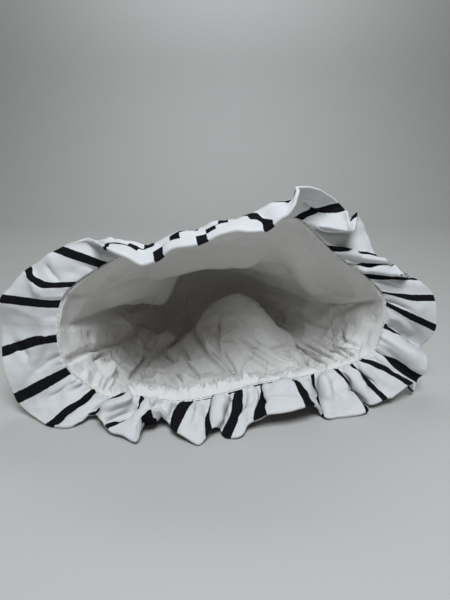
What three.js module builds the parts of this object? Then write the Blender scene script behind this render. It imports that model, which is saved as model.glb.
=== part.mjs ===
import * as THREE from 'three';

// A child's woven sun hat with a gathered ruffle brim, lying on its side on a table with the head
// opening towards -Y. Millimetres, +Z up. Tables are in the layout frame: the table is z = 0, the
// seam between crown and brim is near y = 0 and x runs to the right of the opening.

const LAYOUT_CENTRE = { x: 3, y: 55.4 };   // box centre of the layout, moved to the origin

const CROWN_THICKNESS = 1.2;
const LINING_THICKNESS = 1.0;
const BAND_THICKNESS = 1.0;
const BRIM_THICKNESS = 1.6;
const CLOTH_GAP = 0.6;          // between two layers of cloth
const BRIM_SET_FORWARD = 2.2;   // brim root in front of the seam
const HALF_GAP = 0.5;           // between the upper and the lower solid of crown or brim

const SEAM_STEPS = 12;          // measured steps per row of the seam table
const AROUND = 58;              // crown columns around the opening
const STEPS_PER_SECTION = 2;    // crown rings per table row
const CROWN_SPLIT_COLUMN = 28;  // crown column at the right side crease; the left one is column 0
const BRIM_STEPS_PER_FOLD = 2;  // brim columns per table row
const BRIM_RINGS = 4;           // brim quads from the seam to the outer edge
const BRIM_SPLIT_FOLD = 37;     // brim row at the right side crease; the left one is row 0
const BAND_FIRST_COLUMN = 41;   // nape band: crown columns it runs between
const BAND_LAST_COLUMN = 52;
const BAND_RINGS = 2;           // nape band: crown rings from the seam inwards, 10 mm

// Seam line, clockwise as seen through the opening from its left end.
const SEAM = [
  { x: -96, y: 0, z: 54 }, { x: -93, y: 2, z: 69 }, { x: -84, y: 4, z: 80 },
  { x: -68, y: 8, z: 90 }, { x: -57, y: 10, z: 96 }, { x: -42, y: 10, z: 100 },
  { x: -20, y: 12, z: 105 }, { x: 2, y: 12, z: 110 }, { x: 20, y: 14, z: 114 },
  { x: 37, y: 16, z: 116 }, { x: 46, y: 20, z: 112 }, { x: 61, y: 24, z: 98 },
  { x: 73, y: 27, z: 88 }, { x: 85, y: 30, z: 80 }, { x: 98, y: 33, z: 68 },
  { x: 103, y: 34, z: 58 }, { x: 103, y: 34, z: 45 }, { x: 98, y: 32, z: 28 },
  { x: 88, y: 28, z: 23 }, { x: 67, y: 22, z: 18 }, { x: 47, y: 18, z: 15 },
  { x: 23, y: 10, z: 14 }, { x: 7, y: 4, z: 12 }, { x: -15, y: -2, z: 10 },
  { x: -32, y: -3, z: 10 }, { x: -51, y: -1, z: 12 }, { x: -62, y: 1, z: 10 },
  { x: -75, y: 3, z: 11 }, { x: -85, y: 2, z: 20 }, { x: -91, y: 1, z: 27 },
  { x: -95, y: 0, z: 38 },
];

// Crown cross sections from the seam to the closed tip. The waist is the height of the side creases.
const SECTIONS = [
  { depth: 0, half: 100, mid: 3.5, waist: 56, roof: 110, floor: 12 },
  { depth: 10, half: 99, mid: 2.5, waist: 54, roof: 108, floor: 6 },
  { depth: 24, half: 96, mid: 1.5, waist: 51, roof: 103, floor: 1.2 },
  { depth: 42, half: 91, mid: 0, waist: 48, roof: 95, floor: 1.2 },
  { depth: 62, half: 84, mid: -3, waist: 44, roof: 86, floor: 1.2 },
  { depth: 84, half: 74, mid: -7, waist: 42, roof: 79, floor: 1.2 },
  { depth: 104, half: 60, mid: -11, waist: 41, roof: 71, floor: 4 },
  { depth: 120, half: 42, mid: -14, waist: 41, roof: 62, floor: 16 },
  { depth: 129, half: 22, mid: -16, waist: 41, roof: 52, floor: 30 },
  { depth: 132, half: 0, mid: -16, waist: 41, roof: 41, floor: 41 },
];
const SECTION_START_Y = 14;     // layout y of depth 0 at the opening's middle
const YAW = 0.16;               // the opening is turned: its right end lies further back
const SEAM_REACH = 34;          // the seam's own shape fades out over this depth
const OPENING_HEIGHT = 56;      // height of the opening's middle, and half its height
const OPENING_HALF_HEIGHT = 52;

// Section shape at the seam and further in than PILLOW_DEPTH: the power of the wall's rise and how far
// the floor's flat part spreads.
const PILLOW_DEPTH = 60;
const ROOF_POWER = { seam: 1, deep: 1.3 };
const FLOOR_POWER = { seam: 0.85, deep: 0.66 };
const FLOOR_SPREAD = { seam: 1, deep: 1.28 };

// Folds fade out towards the side creases and towards the tip.
const CREASE_CALM = 1.6;
const TIP_CALM_DEPTH = 112;
const TIP_CALM_RUN = 20;
const FOLD_FOOT = 3;            // height of a fold's foot that stays flat
const ROOF_ROOM = 0.85;         // part of the way down to the side creases that a roof fold may hang

// Folds of the crown: a ridge or dent from one end to the other, pushed into the hollow.
const FOLDS = [
  { wall: 'floor', x1: -4, y1: 122, x2: 8, y2: 96, width1: 40, width2: 56, push1: 25, push2: 47 },
  { wall: 'floor', x1: 8, y1: 92, x2: 2, y2: 34, width1: 58, width2: 66, push1: 47, push2: 8 },
  { wall: 'floor', x1: -62, y1: 92, x2: -46, y2: 84, width1: 22, width2: 20, push1: 16, push2: 16 },
  { wall: 'roof', x1: -44, y1: 66, x2: 12, y2: 72, width1: 22, width2: 22, push1: 11, push2: 12 },
  { wall: 'roof', x1: -74, y1: 52, x2: -58, y2: 98, width1: 22, width2: 32, push1: 11, push2: 29 },
  { wall: 'roof', x1: 40, y1: 40, x2: 66, y2: 84, width1: 20, width2: 20, push1: 8, push2: 11 },
];

// Brim folds, clockwise from the left end of the seam: distance along the seam, outer edge point,
// and how far the cloth between them bows towards its outer side.
const LEFT_FOLDS = [
  { at: 4, x: -132, y: 9, z: 53, bow: 0 },
  { at: 16, x: -129, y: 6, z: 69, bow: -1 },
  { at: 22, x: -122, y: 7, z: 77, bow: -3 },
  { at: 30, x: -113, y: 8, z: 87, bow: -2 },
  { at: 40, x: -102, y: 8, z: 94, bow: -3 },
  { at: 49, x: -93, y: 9, z: 99, bow: -3 },
  { at: 56, x: -83, y: 8, z: 103, bow: -1 },
  { at: 61, x: -73, y: 4, z: 103, bow: 3 },
  { at: 64, x: -64, y: -12, z: 103, bow: 5 },
];
const TOP_FOLDS = [
  { at: 67, x: -58, y: -22, z: 103, bow: 4 },
  { at: 71, x: -49, y: -26, z: 100, bow: 4 },
  { at: 75, x: -42, y: -26, z: 97, bow: 3 },
  { at: 79, x: -38, y: -26, z: 98, bow: 2 },
  { at: 84, x: -32, y: -24, z: 99, bow: 3 },
  { at: 90, x: -26, y: -24, z: 103, bow: 3 },
  { at: 96, x: -19, y: -25, z: 105, bow: 4 },
  { at: 106, x: -10, y: -24, z: 108, bow: 3 },
  { at: 115, x: -3, y: -24, z: 111, bow: 3 },
  { at: 123, x: 5, y: -24, z: 113, bow: 3 },
  { at: 130, x: 12, y: -23, z: 113, bow: 4 },
  { at: 140, x: 21, y: -22, z: 113, bow: 6 },
  { at: 147, x: 27, y: -22, z: 117, bow: 6 },
  { at: 152, x: 32, y: -20, z: 121, bow: 5 },
  { at: 157, x: 36, y: -14, z: 130, bow: 2 },
  { at: 160, x: 38, y: -6, z: 133, bow: 0 },
];
const RIGHT_FOLDS = [
  { at: 162, x: 52, y: 10, z: 131, bow: 0 },
  { at: 166, x: 68, y: 24, z: 121, bow: 1 },
  { at: 173, x: 73, y: 14, z: 108, bow: -3 },
  { at: 178, x: 81, y: 34, z: 115, bow: -2 },
  { at: 184, x: 88, y: 38, z: 103, bow: -2 },
  { at: 190, x: 94, y: 34, z: 90, bow: -1 },
  { at: 198, x: 99, y: 28, z: 88, bow: -1 },
  { at: 206, x: 107, y: 37, z: 83, bow: -1 },
  { at: 213, x: 111, y: 28, z: 79, bow: -1 },
  { at: 221, x: 120, y: 40, z: 75, bow: -1 },
  { at: 230, x: 129, y: 38, z: 70, bow: 0 },
  { at: 239, x: 135, y: 38, z: 62, bow: 0 },
  { at: 250, x: 138, y: 35, z: 42, bow: 1 },
  { at: 261, x: 132, y: 42, z: 25, bow: 2 },
  { at: 271, x: 129, y: 25, z: 26, bow: -4 },
  { at: 276, x: 128, y: 22, z: 17, bow: -2 },
  { at: 281, x: 125, y: 24, z: 11, bow: 1 },
  { at: 287, x: 123, y: 22, z: 4, bow: -1 },
];
const NAPE_FOLDS = [
  { at: 294, x: 117, y: 16, z: 11, bow: -4 },
  { at: 298, x: 104, y: 10, z: 5, bow: -2 },
  { at: 303, x: 100, y: 8, z: 5, bow: 1 },
  { at: 308, x: 90, y: 5, z: 3, bow: -3 },
  { at: 312, x: 86, y: 10, z: 3, bow: 2 },
  { at: 317, x: 85, y: -1, z: 1, bow: -2 },
  { at: 322, x: 63, y: -8, z: 1, bow: -5 },
  { at: 328, x: 57, y: -5, z: 2, bow: 3 },
  { at: 333, x: 53, y: -8, z: 9, bow: 2 },
  { at: 342, x: 48, y: -13, z: 12, bow: -3 },
  { at: 352, x: 37, y: -16, z: 10, bow: -5 },
  { at: 359, x: 25, y: -18, z: 9, bow: -3 },
  { at: 364, x: 21, y: -19, z: 7, bow: 1 },
  { at: 370, x: 13, y: -21, z: 4, bow: -1 },
  { at: 375, x: 8, y: -27, z: 1, bow: -3 },
  { at: 379, x: 0, y: -27, z: 1, bow: 0 },
  { at: 384, x: -3, y: -21, z: 2, bow: 3 },
  { at: 388, x: -6, y: -25, z: 6, bow: -3 },
  { at: 392, x: -9, y: -29, z: 4, bow: -3 },
  { at: 398, x: -14, y: -34, z: 1, bow: 0 },
  { at: 404, x: -21, y: -30, z: 2, bow: -3 },
  { at: 410, x: -29, y: -24, z: 4, bow: -2 },
  { at: 415, x: -32, y: -18, z: 6, bow: 4 },
  { at: 420, x: -36, y: -21, z: 13, bow: 6 },
  { at: 426, x: -41, y: -25, z: 15, bow: 7 },
  { at: 431, x: -46, y: -27, z: 12, bow: 5 },
  { at: 436, x: -47, y: -33, z: 2, bow: -1 },
  { at: 439, x: -56, y: -28, z: 3, bow: 1 },
  { at: 442, x: -64, y: -24, z: 3, bow: 2 },
  { at: 446, x: -70, y: -17, z: 6, bow: -4 },
  { at: 452, x: -74, y: -11, z: 5, bow: -2 },
  { at: 457, x: -80, y: -10, z: 4, bow: 0 },
  { at: 462, x: -88, y: -17, z: 1, bow: -1 },
  { at: 469, x: -100, y: -16, z: 1, bow: -3 },
  { at: 477, x: -114, y: -6, z: 3, bow: -2 },
  { at: 486, x: -124, y: -1, z: 10, bow: -2 },
  { at: 496, x: -129, y: 0, z: 25, bow: 2 },
  { at: 507, x: -132, y: 6, z: 39, bow: 0 },
];
const BRIM_FOLDS = [...LEFT_FOLDS, ...TOP_FOLDS, ...RIGHT_FOLDS, ...NAPE_FOLDS];
const BOW_PLACE = 0.45;         // part of the way to the edge at which the brim bows most
const BOW_GAIN = 2;             // a quadratic curve bows half as far as its middle point
const TANGENT_STEP = 3;         // distance to the points that give the seam's direction

const CROWN_COLOUR = 0xf1f1ee;
const LINING_COLOUR = 0xfafaf7;
const BAND_COLOUR = 0xf4f4f2;
const BRIM_COLOUR = 0xf5f5f2;

const mix = (from, to, amount) => from + (to - from) * amount;
const clamp01 = (value) => Math.min(1, Math.max(0, value));
const smooth = (value) => clamp01(value) ** 2 * (3 - 2 * clamp01(value));

// Catmull-Rom value through four numbers, between the second and the third.
function spline(a, b, c, d, t) {
  return 0.5 * (2 * b + (c - a) * t + (2 * a - 5 * b + 4 * c - d) * t * t
    + (3 * b - a - 3 * c + d) * t * t * t);
}

// Named columns of a table at a position counted in rows; a closed table wraps around.
function rowAt(table, position, columns, closed) {
  const last = table.length - 1;
  const pick = (i) => (closed ? table[(i + table.length) % table.length]
    : table[Math.min(last, Math.max(0, i))]);
  const start = closed ? Math.floor(position) : Math.min(last - 1, Math.floor(position));
  const t = position - start;
  const row = {};
  for (const column of columns) {
    row[column] = spline(pick(start - 1)[column], pick(start)[column],
      pick(start + 1)[column], pick(start + 2)[column], t);
  }
  return row;
}

// Seam points at equal small steps, with the distance run so far.
function measureSeam() {
  const points = [];
  let run = 0;
  for (let i = 0; i <= SEAM.length * SEAM_STEPS; i += 1) {
    const { x, y, z } = rowAt(SEAM, (i / SEAM_STEPS) % SEAM.length, ['x', 'y', 'z'], true);
    const point = new THREE.Vector3(x, y, z);
    if (i > 0) {
      run += point.distanceTo(points[i - 1].point);
    }
    points.push({ point, run });
  }
  return points;
}
const SEAM_POINTS = measureSeam();
const SEAM_LENGTH = SEAM_POINTS[SEAM_POINTS.length - 1].run;

function seamPoint(distance) {
  const run = ((distance % SEAM_LENGTH) + SEAM_LENGTH) % SEAM_LENGTH;
  let i = 1;
  while (SEAM_POINTS[i].run < run) {
    i += 1;
  }
  const before = SEAM_POINTS[i - 1];
  const after = SEAM_POINTS[i];
  return before.point.clone().lerp(after.point, (run - before.run) / (after.run - before.run));
}

// Pillow-shaped cross section: a low pointed roof over a flat floor, meeting in the side creases.
function sectionPoint(angle, section) {
  const rise = Math.sin(angle);
  const deep = smooth(section.depth / PILLOW_DEPTH);
  const power = rise > 0 ? ROOF_POWER : FLOOR_POWER;
  const spread = rise > 0 ? 1 : mix(FLOOR_SPREAD.seam, FLOOR_SPREAD.deep, deep);
  const height = Math.min(1, spread * Math.abs(rise) ** mix(power.seam, power.deep, deep));
  const x = section.mid + section.half * Math.cos(angle);
  const y = SECTION_START_Y + section.depth + YAW * (x - SECTIONS[0].mid);
  const z = mix(section.waist, rise > 0 ? section.roof : section.floor, height);
  return new THREE.Vector3(x, y, z);
}

// How far a fold pushes the cloth at a point, falling to nothing at its width.
function foldPush(fold, x, y) {
  const alongX = fold.x2 - fold.x1;
  const alongY = fold.y2 - fold.y1;
  const along = clamp01(((x - fold.x1) * alongX + (y - fold.y1) * alongY)
    / (alongX * alongX + alongY * alongY));
  const away = Math.hypot(x - fold.x1 - alongX * along, y - fold.y1 - alongY * along);
  const closeness = 1 - away / mix(fold.width1, fold.width2, along);
  return Math.max(0, mix(fold.push1, fold.push2, along) * smooth(closeness) - FOLD_FOOT);
}

// Middle surface between crown and lining.
function crownPoint(distance, position) {
  const seam = seamPoint(distance);
  const angle = Math.atan2((seam.z - OPENING_HEIGHT) / OPENING_HALF_HEIGHT,
    (seam.x - SECTIONS[0].mid) / SECTIONS[0].half);
  const columns = ['depth', 'half', 'mid', 'waist', 'roof', 'floor'];
  const section = rowAt(SECTIONS, position, columns, false);
  const point = sectionPoint(angle, section);
  const start = sectionPoint(angle, SECTIONS[0]);
  point.addScaledVector(seam.clone().sub(start), 1 - smooth(section.depth / SEAM_REACH));
  const lower = Math.sin(angle) < 0;
  const flat = smooth(Math.abs(Math.sin(angle)) * CREASE_CALM);
  let push = 0;
  for (const fold of FOLDS) {
    if ((fold.wall === 'floor') === lower) {
      push = Math.max(push, foldPush(fold, point.x, point.y));
    }
  }
  push *= flat * (1 - smooth((section.depth - TIP_CALM_DEPTH) / TIP_CALM_RUN));
  point.z += lower ? push : -Math.min(push, Math.max(0, point.z - section.waist) * ROOF_ROOM);
  return point;
}

// Grid of points with the unit direction that leads out of the first side at each of them.
function grid(columns, rings, wraps, place) {
  const points = [];
  const columnCount = wraps ? columns : columns + 1;
  for (let i = 0; i < columnCount; i += 1) {
    points.push([]);
    for (let j = 0; j <= rings; j += 1) {
      points[i].push(place(i / columns, j / rings));
    }
  }
  const normals = points.map((column, i) => column.map((point, j) => {
    const before = wraps ? (i + columnCount - 1) % columnCount : Math.max(0, i - 1);
    const after = wraps ? (i + 1) % columnCount : Math.min(columnCount - 1, i + 1);
    const nearTip = Math.min(j, rings - 1);
    const around = points[after][nearTip].clone().sub(points[before][nearTip]);
    const inward = column[Math.min(rings, j + 1)].clone().sub(column[Math.max(0, j - 1)]);
    return around.cross(inward).normalize();
  }));
  return { points, normals, wraps };
}

// Copy of a grid's points moved along its normals and kept above a height.
function offset({ points, normals }, distance, lowest) {
  return points.map((column, i) => column.map((point, j) => {
    const moved = point.clone().addScaledVector(normals[i][j], distance);
    moved.z = Math.max(moved.z, lowest);
    return moved;
  }));
}

// Closed sheet of cloth between a front and a back layer of points.
function clothMesh(name, colour, front, back, wraps, tip = null) {
  const positions = [];
  const addTriangle = (a, b, c) => {
    for (const p of [a, b, c]) {
      positions.push(p.x - LAYOUT_CENTRE.x, p.y - LAYOUT_CENTRE.y, p.z);
    }
  };
  const addQuad = (a, b, c, d) => {
    addTriangle(a, b, c);
    addTriangle(a, c, d);
  };
  const count = front.length;
  const rings = front[0].length - 1;
  for (let i = 0; i < (wraps ? count : count - 1); i += 1) {
    const next = (i + 1) % count;
    for (let j = 0; j < rings; j += 1) {
      addQuad(front[i][j], front[next][j], front[next][j + 1], front[i][j + 1]);
      addQuad(back[i][j], back[i][j + 1], back[next][j + 1], back[next][j]);
    }
    addQuad(back[i][0], back[next][0], front[next][0], front[i][0]);
    if (tip) {
      addTriangle(front[i][rings], front[next][rings], tip.front);
      addTriangle(back[i][rings], tip.back, back[next][rings]);
    } else {
      addQuad(front[i][rings], front[next][rings], back[next][rings], back[i][rings]);
    }
  }
  if (!wraps) {
    const last = count - 1;
    for (let j = 0; j < rings; j += 1) {
      addQuad(back[0][j], front[0][j], front[0][j + 1], back[0][j + 1]);
      addQuad(front[last][j], back[last][j], back[last][j + 1], front[last][j + 1]);
    }
    if (tip) {
      addQuad(back[0][rings], front[0][rings], tip.front, tip.back);
      addQuad(front[last][rings], back[last][rings], tip.back, tip.front);
    }
  }
  const geometry = new THREE.BufferGeometry();
  geometry.setAttribute('position', new THREE.Float32BufferAttribute(positions, 3));
  geometry.computeVertexNormals();
  const material = new THREE.MeshStandardMaterial({ color: colour, roughness: 0.9, metalness: 0 });
  const mesh = new THREE.Mesh(geometry, material);
  mesh.name = name;
  return mesh;
}

const CROWN_RINGS = (SECTIONS.length - 1) * STEPS_PER_SECTION - 1;

function crownGrid() {
  return grid(AROUND, CROWN_RINGS, true, (u, v) => (
    crownPoint(u * SEAM_LENGTH, (v * CROWN_RINGS) / STEPS_PER_SECTION)));
}

function tipPoint(distance, lift) {
  const point = crownPoint(0, SECTIONS.length - 1);
  return new THREE.Vector3(point.x, point.y + distance, point.z + lift);
}

// Columns from first to last of a closed layer, its two end columns lifted off the other half.
function halfOf(layer, first, last, lift) {
  const columns = [];
  for (let i = first; i <= last; i += 1) {
    const column = layer[i % layer.length];
    const end = i === first || i === last;
    columns.push(end ? column.map((p) => new THREE.Vector3(p.x, p.y, p.z + lift)) : column);
  }
  return columns;
}

// The crown's outer cloth, in two solids that meet at the side creases.
function makeCrown(base) {
  const near = CLOTH_GAP / 2;
  const far = near + CROWN_THICKNESS;
  const front = offset(base, far, 0);
  const back = offset(base, near, CROWN_THICKNESS);
  const make = (name, first, last, lift) => {
    const tip = { front: tipPoint(far, lift), back: tipPoint(near, lift) };
    return clothMesh(name, CROWN_COLOUR, halfOf(front, first, last, lift),
      halfOf(back, first, last, lift), false, tip);
  };
  return [
    make('crown_upper', 0, CROWN_SPLIT_COLUMN, HALF_GAP / 2),
    make('crown_lower', CROWN_SPLIT_COLUMN, AROUND, -HALF_GAP / 2),
  ];
}

function makeLining(base) {
  const near = -CLOTH_GAP / 2;
  const far = near - LINING_THICKNESS;
  const floor = CROWN_THICKNESS + CLOTH_GAP;
  const tip = { front: tipPoint(near, 0), back: tipPoint(far, 0) };
  return clothMesh('lining', LINING_COLOUR, offset(base, near, floor),
    offset(base, far, floor + LINING_THICKNESS), true, tip);
}

// The band lies on the lining, on the same columns and rings.
function makeNapeBand(base) {
  const part = (columns) => columns.slice(BAND_FIRST_COLUMN, BAND_LAST_COLUMN + 1)
    .map((column) => column.slice(0, BAND_RINGS + 1));
  const strip = { points: part(base.points), normals: part(base.normals) };
  const near = -(CLOTH_GAP * 1.5 + LINING_THICKNESS);
  const far = near - BAND_THICKNESS;
  return clothMesh('nape_band', BAND_COLOUR, offset(strip, near, 0), offset(strip, far, 0), false);
}

// Middle surface of the brim: one bowed curve from the seam to the outer edge.
function brimPoint(position, v) {
  const row = rowAt(BRIM_FOLDS, position, ['x', 'y', 'z', 'bow'], true);
  const count = BRIM_FOLDS.length;
  const start = Math.floor(position) % count;
  const from = BRIM_FOLDS[start].at;
  const to = BRIM_FOLDS[(start + 1) % count].at + (start === count - 1 ? SEAM_LENGTH : 0);
  const distance = mix(from, to, position - Math.floor(position));
  const root = seamPoint(distance);
  root.y -= BRIM_SET_FORWARD;
  const along = seamPoint(distance + TANGENT_STEP).sub(seamPoint(distance - TANGENT_STEP));
  const edge = new THREE.Vector3(row.x, row.y, row.z);
  const outer = edge.clone().sub(root).cross(along).normalize();
  const middle = root.clone().lerp(edge, BOW_PLACE).addScaledVector(outer, row.bow * BOW_GAIN);
  return new THREE.QuadraticBezierCurve3(root, middle, edge).getPoint(v);
}

// The brim, in two solids that meet where the crown's two solids do.
function makeBrim() {
  const columns = BRIM_FOLDS.length * BRIM_STEPS_PER_FOLD;
  const split = BRIM_SPLIT_FOLD * BRIM_STEPS_PER_FOLD;
  const base = grid(columns, BRIM_RINGS, true, (u, v) => brimPoint(u * BRIM_FOLDS.length, v));
  const front = offset(base, BRIM_THICKNESS / 2, BRIM_THICKNESS);
  const back = offset(base, -BRIM_THICKNESS / 2, 0);
  const make = (name, first, last, lift) => clothMesh(name, BRIM_COLOUR,
    halfOf(front, first, last, lift), halfOf(back, first, last, lift), false);
  return [
    make('brim_upper', 0, split, HALF_GAP / 2),
    make('brim_lower', split, columns, -HALF_GAP / 2),
  ];
}

const crown = crownGrid();
const hat = new THREE.Group();
hat.name = 'ruffled_sun_hat';
hat.add(...makeCrown(crown), makeLining(crown), makeNapeBand(crown), ...makeBrim());

export default hat;
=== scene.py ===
"""A child's striped sun hat lying on its side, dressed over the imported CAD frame.

Tables are in millimetres in the layout frame: the table top is z = 0, the seam between crown and brim
is near y = 0 and x runs to the right of the opening. Meshes are made in metres in the row's frame.
"""

import math

import bpy
import numpy as np
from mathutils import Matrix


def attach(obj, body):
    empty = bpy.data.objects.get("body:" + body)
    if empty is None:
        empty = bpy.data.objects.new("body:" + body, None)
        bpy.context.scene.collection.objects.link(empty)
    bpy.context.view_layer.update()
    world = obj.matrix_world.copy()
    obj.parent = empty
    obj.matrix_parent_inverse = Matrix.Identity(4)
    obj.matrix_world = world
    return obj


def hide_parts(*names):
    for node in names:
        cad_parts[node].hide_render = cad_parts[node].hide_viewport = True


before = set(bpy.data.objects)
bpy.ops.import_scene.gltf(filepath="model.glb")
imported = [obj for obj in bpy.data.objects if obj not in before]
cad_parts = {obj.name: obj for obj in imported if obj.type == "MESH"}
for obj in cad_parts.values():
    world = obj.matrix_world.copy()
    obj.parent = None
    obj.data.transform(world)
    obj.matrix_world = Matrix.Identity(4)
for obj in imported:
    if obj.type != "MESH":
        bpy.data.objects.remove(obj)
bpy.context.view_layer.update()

MM = 0.001
LAYOUT_CENTRE = np.array([3.0, 55.4, 0.0])

# Camera of the photo, in the layout frame.
IMAGE_WIDTH, IMAGE_HEIGHT = 450, 600
FOCAL_PIXELS = 451.0
CAMERA_PITCH = math.radians(16.0)
CAMERA_PLACE = np.array([0.0, -243.0, 141.0])

STRIPE_PITCH = 27.0
STRIPE_WIDTH = 5.6
BRIM_THICKNESS = 1.5
# Offsets of crown and lining from the middle surface between them, outwards.
CROWN_OFFSET = 0.75
LINING_OFFSET = -0.75
# Ditch along the seam, where lining and brim turn in to be sewn.
SEAM_DITCH_DEPTH = 0.5
SEAM_DITCH_WIDTH = 1.1

# Seam line, clockwise as seen through the opening from its left end: x, y, z.
SEAM = np.array([
    (-96, 0, 54), (-93, 2, 69), (-84, 4, 80), (-68, 8, 90), (-57, 10, 96), (-42, 10, 100),
    (-20, 12, 105), (2, 12, 110), (20, 14, 114), (37, 16, 116), (46, 20, 112), (61, 24, 98),
    (73, 27, 88), (85, 30, 80), (98, 33, 68), (103, 34, 58), (103, 34, 45), (98, 32, 28),
    (88, 28, 23), (67, 22, 18), (47, 18, 15), (23, 10, 14), (7, 4, 12), (-15, -2, 10),
    (-32, -3, 10), (-51, -1, 12), (-62, 1, 10), (-75, 3, 11), (-85, 2, 20), (-91, 1, 27),
    (-95, 0, 38),
], dtype=float)

# Crown sections, seam to tip: depth, half width, middle, waist, roof, floor.
SECTIONS = np.array([
    (0, 100, 3.5, 56, 110, 12),
    (10, 99, 2.5, 54, 108, 6),
    (24, 96, 1.5, 51, 103, 1.2),
    (42, 91, 0, 48, 95, 1.2),
    (62, 84, -3, 44, 86, 1.2),
    (84, 74, -7, 42, 79, 1.2),
    (104, 60, -11, 41, 71, 4),
    (120, 42, -14, 41, 62, 16),
    (129, 22, -16, 41, 52, 30),
    (132, 0, -16, 41, 41, 41),
], dtype=float)
FIRST_ROW_DEPTH = SECTIONS[1, 0]
# The meshes stop at this row, where a cap closes the tip.
LAST_ROW = len(SECTIONS) - 1.04
# Depth 0 is at this y in the opening's middle. The opening is turned: its right end is further back.
SECTION_START = 14.0
YAW = 0.16
# The seam's own shape fades out over this depth.
SEAM_REACH = 34.0
# Middle and half of the opening's height, for the angle round it.
OPENING_MIDDLE = 56.0
OPENING_HALF_HEIGHT = 52.0
# Roundness of roof and floor and spread of the floor, at the seam and at PILLOW_DEPTH.
PILLOW_DEPTH = 60.0
ROOF_POWER = (1.0, 1.3)
FLOOR_POWER = (0.85, 0.66)
FLOOR_SPREAD = (1.0, 1.28)

# Large folds of the crown, pushed into the hollow: x1, y1, x2, y2, width1, width2, push1, push2.
FLOOR_FOLDS = [
    (-4, 122, 8, 96, 40, 56, 25, 47),
    (8, 92, 2, 34, 58, 66, 47, 8),
    (-62, 92, -46, 84, 22, 20, 16, 16),
]
ROOF_FOLDS = [
    (-44, 66, 12, 72, 22, 22, 11, 12),
    (-74, 52, -58, 98, 22, 32, 11, 29),
    (40, 40, 66, 84, 20, 20, 8, 11),
]
# A fold's foot stays flat up to this height, and rises softly from there.
FOLD_FOOT = 3.0
FOLD_SOFTNESS = 3.0
# Part of the way down to the side creases that a roof fold may hang.
ROOF_ROOM = 0.85
# Folds fade towards the side creases, and over this run from this depth on.
CREASE_CALM = 1.6
TIP_CALM_DEPTH = 112.0
TIP_CALM_RUN = 20.0

# Brim folds, clockwise from the left end of the seam: seam distance, outer edge x, y, z, bow. The bow
# is at BOW_PLACE of the way to the edge.
BOW_PLACE = 0.45
BOW_GAIN = 2.0
TANGENT_STEP = 3.0
BRIM_FOLDS = np.array([
    (4, -132, 9, 53, 0), (16, -129, 6, 69, -1), (22, -122, 7, 77, -3), (30, -113, 8, 87, -2),
    (40, -102, 8, 94, -3), (49, -93, 9, 99, -3), (56, -83, 8, 103, -1), (61, -73, 4, 103, 3),
    (64, -64, -12, 103, 5), (67, -58, -22, 103, 4), (71, -49, -26, 100, 4), (75, -42, -26, 97, 3),
    (79, -38, -26, 98, 2), (84, -32, -24, 99, 3), (90, -26, -24, 103, 3), (96, -19, -25, 105, 4),
    (106, -10, -24, 108, 3), (115, -3, -24, 111, 3), (123, 5, -24, 113, 3), (130, 12, -23, 113, 4),
    (140, 21, -22, 113, 6), (147, 27, -22, 117, 6), (152, 32, -20, 121, 5), (157, 36, -14, 130, 2),
    (160, 38, -6, 133, 0), (162, 52, 10, 131, 0), (166, 68, 24, 121, 1), (173, 73, 14, 108, -3),
    (178, 81, 34, 115, -2), (184, 88, 38, 103, -2), (190, 94, 34, 90, -1), (198, 99, 28, 88, -1),
    (206, 107, 37, 83, -1), (213, 111, 28, 79, -1), (221, 120, 40, 75, -1), (230, 129, 38, 70, 0),
    (239, 135, 38, 62, 0), (250, 138, 35, 42, 1), (261, 132, 42, 25, 2), (271, 129, 25, 26, -4),
    (276, 128, 22, 17, -2), (281, 125, 24, 11, 1), (287, 123, 22, 4, -1), (294, 117, 16, 11, -4),
    (298, 104, 10, 5, -2), (303, 100, 8, 5, 1), (308, 90, 5, 3, -3), (312, 86, 10, 3, 2),
    (317, 85, -1, 1, -2), (322, 63, -8, 1, -5), (328, 57, -5, 2, 3), (333, 53, -8, 9, 2),
    (342, 48, -13, 12, -3), (352, 37, -16, 10, -5), (359, 25, -18, 9, -3), (364, 21, -19, 7, 1),
    (370, 13, -21, 4, -1), (375, 8, -27, 1, -3), (379, 0, -27, 1, 0), (384, -3, -21, 2, 3),
    (388, -6, -25, 6, -3), (392, -9, -29, 4, -3), (398, -14, -34, 1, 0), (404, -21, -30, 2, -3),
    (410, -29, -24, 4, -2), (415, -32, -18, 6, 4), (420, -36, -21, 13, 6), (426, -41, -25, 15, 7),
    (431, -46, -27, 12, 5), (436, -47, -33, 2, -1), (439, -56, -28, 3, 1), (442, -64, -24, 3, 2),
    (446, -70, -17, 6, -4), (452, -74, -11, 5, -2), (457, -80, -10, 4, 0), (462, -88, -17, 1, -1),
    (469, -100, -16, 1, -3), (477, -114, -6, 3, -2), (486, -124, -1, 10, -2), (496, -129, 0, 25, 2),
    (507, -132, 6, 39, 0),
], dtype=float)

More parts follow.
